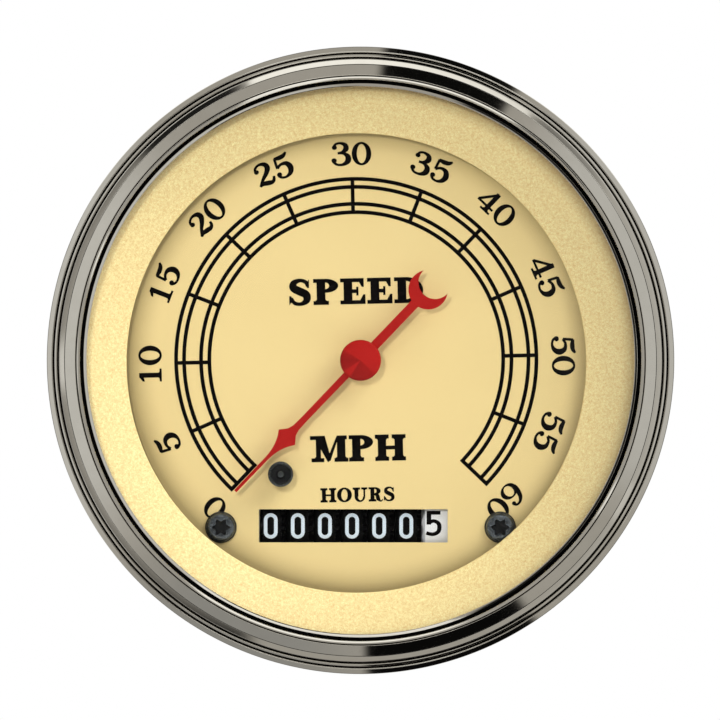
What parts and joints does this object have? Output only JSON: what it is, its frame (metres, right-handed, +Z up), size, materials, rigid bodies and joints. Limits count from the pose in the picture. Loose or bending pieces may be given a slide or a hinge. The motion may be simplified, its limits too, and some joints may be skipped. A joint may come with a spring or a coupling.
{
  "type": "vintage panel speedometer",
  "caption": "Round panel speedometer: chrome stepped bezel over flat glass, cream dial, red spade pointer on a magnetic movement, and a drum hour counter.",
  "frame": {"origin": "where the spindle axis crosses the panel plane, the rear face of the bezel's rolled lip", "axes": "+Z up as the dial is read, +X to the reader's right, +Y from the dial to the rear along the spindle axis"},
  "size_m": [0.094, 0.0746, 0.094],
  "materials": {
    "bezel_chrome": "polished, stepped rolled rings",
    "case_black": "semi-gloss black enamel on drawn steel",
    "lens_glass": "flat clear glass",
    "gasket_rubber": "matte black rubber",
    "trim_cream": "satin cream paint with fine sandy grain",
    "dial_cream": "satin cream paint with black print",
    "screw_black": "black oxide",
    "stop_black": "satin black",
    "pointer_red": "satin red paint",
    "steel": "turned steel",
    "brass": "machined brass",
    "bronze": "sintered bronze",
    "cup_aluminium": "spun aluminium",
    "base_casting": "die-cast, satin",
    "plate_zinc": "zinc-plated sheet",
    "field_iron": "soft iron",
    "magnet_grey": "sintered magnet",
    "drum_black": "satin black with white figures",
    "drum_white": "satin white with black figures",
    "nylon": "natural nylon",
    "motor_steel": "plated can",
    "lead_red": "insulated wire",
    "lamp_black": "moulded socket",
    "bulb_glass": "clear bulb",
    "stud_zinc": "zinc-plated threaded stud",
    "phenolic": "brown phenolic",
    "terminal_brass": "tinned brass",
    "nose_brass": "machined brass"
  },
  "bodies": {
    "housing": {"case": "case_black", "bezel": "bezel_chrome", "lens": "lens_glass", "lens_gasket": "gasket_rubber", "trim_ring": "trim_cream", "dial": "dial_cream", "dial_screws": "screw_black", "stop_pin": "stop_black", "pointer_bush": "brass", "hairspring": "bronze", "regulator_arm": "brass", "bridge": "plate_zinc", "bridge_posts": "brass", "bridge_bush": "brass", "bridge_screws": "steel", "field_ring": "field_iron", "spindle_bush": "bronze", "thrust_washer": "nylon", "movement_base": "base_casting", "drive_nose": "nose_brass", "front_plate": "plate_zinc", "pillars": "brass", "pillar_screws": "steel", "case_screws": "steel", "counter_frame": "plate_zinc", "pinion_shaft": "steel", "idler_arbor": "steel", "motor_can": "motor_steel", "motor_screws": "steel", "motor_leads": "lead_red", "lamp_sockets": "lamp_black", "lamp_bulbs": "bulb_glass", "mounting_studs": "stud_zinc", "terminal_insulator": "phenolic", "terminal_blades": "terminal_brass"},
    "pointer_arbor": {"pointer": "pointer_red", "pointer_cap": "pointer_red", "pointer_staff": "steel", "speed_cup": "cup_aluminium", "hairspring_collet": "brass"},
    "drive_input": {"drive_spindle": "steel", "magnet": "magnet_grey"},
    "tenths_drum": {"drum_tenths": "drum_white", "counter_shaft": "steel", "counter_gear": "brass", "shaft_clip": "steel"},
    "units_drum": {"drum_units": "drum_black"},
    "tens_drum": {"drum_tens": "drum_black"},
    "hundreds_drum": {"drum_hundreds": "drum_black"},
    "thousands_drum": {"drum_thousands": "drum_black"},
    "ten_thousands_drum": {"drum_ten_thousands": "drum_black"},
    "hundred_thousands_drum": {"drum_hundred_thousands": "drum_black"},
    "carry_pinion_1": {"transfer_pinion_1": "nylon"},
    "carry_pinion_2": {"transfer_pinion_2": "nylon"},
    "carry_pinion_3": {"transfer_pinion_3": "nylon"},
    "carry_pinion_4": {"transfer_pinion_4": "nylon"},
    "carry_pinion_5": {"transfer_pinion_5": "nylon"},
    "carry_pinion_6": {"transfer_pinion_6": "nylon"},
    "idler": {"idler_gear": "brass"},
    "motor_output": {"motor_pinion": "brass"}
  },
  "joints": [
    {"name": "pointer_sweep", "type": "hinge", "parent": "housing", "child": "pointer_arbor", "pos_m": [0, 0, 0], "axis": [0, 1, 0], "range_deg": [-2, 272], "stiffness_Nm_per_rad": 0.0003, "deforming": ["hairspring"]},
    {"name": "drive_spin", "type": "hinge", "parent": "housing", "child": "drive_input", "pos_m": [0, 0, 0], "axis": [0, 1, 0], "continuous": true},
    {"name": "tenths_turn", "type": "hinge", "parent": "housing", "child": "tenths_drum", "pos_m": [0, 0.0117, -0.0249], "axis": [-1, 0, 0], "continuous": true},
    {"name": "units_turn", "type": "hinge", "parent": "housing", "child": "units_drum", "pos_m": [0, 0.0117, -0.0249], "axis": [-1, 0, 0], "continuous": true},
    {"name": "tens_turn", "type": "hinge", "parent": "housing", "child": "tens_drum", "pos_m": [0, 0.0117, -0.0249], "axis": [-1, 0, 0], "continuous": true},
    {"name": "hundreds_turn", "type": "hinge", "parent": "housing", "child": "hundreds_drum", "pos_m": [0, 0.0117, -0.0249], "axis": [-1, 0, 0], "continuous": true},
    {"name": "thousands_turn", "type": "hinge", "parent": "housing", "child": "thousands_drum", "pos_m": [0, 0.0117, -0.0249], "axis": [-1, 0, 0], "continuous": true},
    {"name": "ten_thousands_turn", "type": "hinge", "parent": "housing", "child": "ten_thousands_drum", "pos_m": [0, 0.0117, -0.0249], "axis": [-1, 0, 0], "continuous": true},
    {"name": "hundred_thousands_turn", "type": "hinge", "parent": "housing", "child": "hundred_thousands_drum", "pos_m": [0, 0.0117, -0.0249], "axis": [-1, 0, 0], "continuous": true},
    {"name": "carry_1_turn", "type": "hinge", "parent": "housing", "child": "carry_pinion_1", "pos_m": [0, 0.01425, -0.01538], "axis": [-1, 0, 0], "continuous": true},
    {"name": "carry_2_turn", "type": "hinge", "parent": "housing", "child": "carry_pinion_2", "pos_m": [0, 0.01425, -0.01538], "axis": [-1, 0, 0], "continuous": true},
    {"name": "carry_3_turn", "type": "hinge", "parent": "housing", "child": "carry_pinion_3", "pos_m": [0, 0.01425, -0.01538], "axis": [-1, 0, 0], "continuous": true},
    {"name": "carry_4_turn", "type": "hinge", "parent": "housing", "child": "carry_pinion_4", "pos_m": [0, 0.01425, -0.01538], "axis": [-1, 0, 0], "continuous": true},
    {"name": "carry_5_turn", "type": "hinge", "parent": "housing", "child": "carry_pinion_5", "pos_m": [0, 0.01425, -0.01538], "axis": [-1, 0, 0], "continuous": true},
    {"name": "carry_6_turn", "type": "hinge", "parent": "housing", "child": "carry_pinion_6", "pos_m": [0, 0.01425, -0.01538], "axis": [-1, 0, 0], "continuous": true},
    {"name": "idler_turn", "type": "hinge", "parent": "housing", "child": "idler", "pos_m": [0, 0.0226, -0.02673], "axis": [-1, 0, 0], "continuous": true},
    {"name": "motor_turn", "type": "hinge", "parent": "housing", "child": "motor_output", "pos_m": [0, 0.03103, -0.02815], "axis": [-1, 0, 0], "continuous": true}
  ],
  "couplings": [
    {"joint": "units_turn", "follows": "tenths_turn", "ratio": 0.1},
    {"joint": "tens_turn", "follows": "tenths_turn", "ratio": 0.01},
    {"joint": "hundreds_turn", "follows": "tenths_turn", "ratio": 0.001},
    {"joint": "thousands_turn", "follows": "tenths_turn", "ratio": 0.0001},
    {"joint": "ten_thousands_turn", "follows": "tenths_turn", "ratio": 0.00001},
    {"joint": "hundred_thousands_turn", "follows": "tenths_turn", "ratio": 0.000001},
    {"joint": "carry_1_turn", "follows": "tenths_turn", "ratio": -0.25},
    {"joint": "carry_2_turn", "follows": "tenths_turn", "ratio": -0.025},
    {"joint": "carry_3_turn", "follows": "tenths_turn", "ratio": -0.0025},
    {"joint": "carry_4_turn", "follows": "tenths_turn", "ratio": -0.00025},
    {"joint": "carry_5_turn", "follows": "tenths_turn", "ratio": -0.000025},
    {"joint": "carry_6_turn", "follows": "tenths_turn", "ratio": -0.0000025},
    {"joint": "idler_turn", "follows": "tenths_turn", "ratio": -0.83333},
    {"joint": "motor_turn", "follows": "tenths_turn", "ratio": 2}
  ]
}
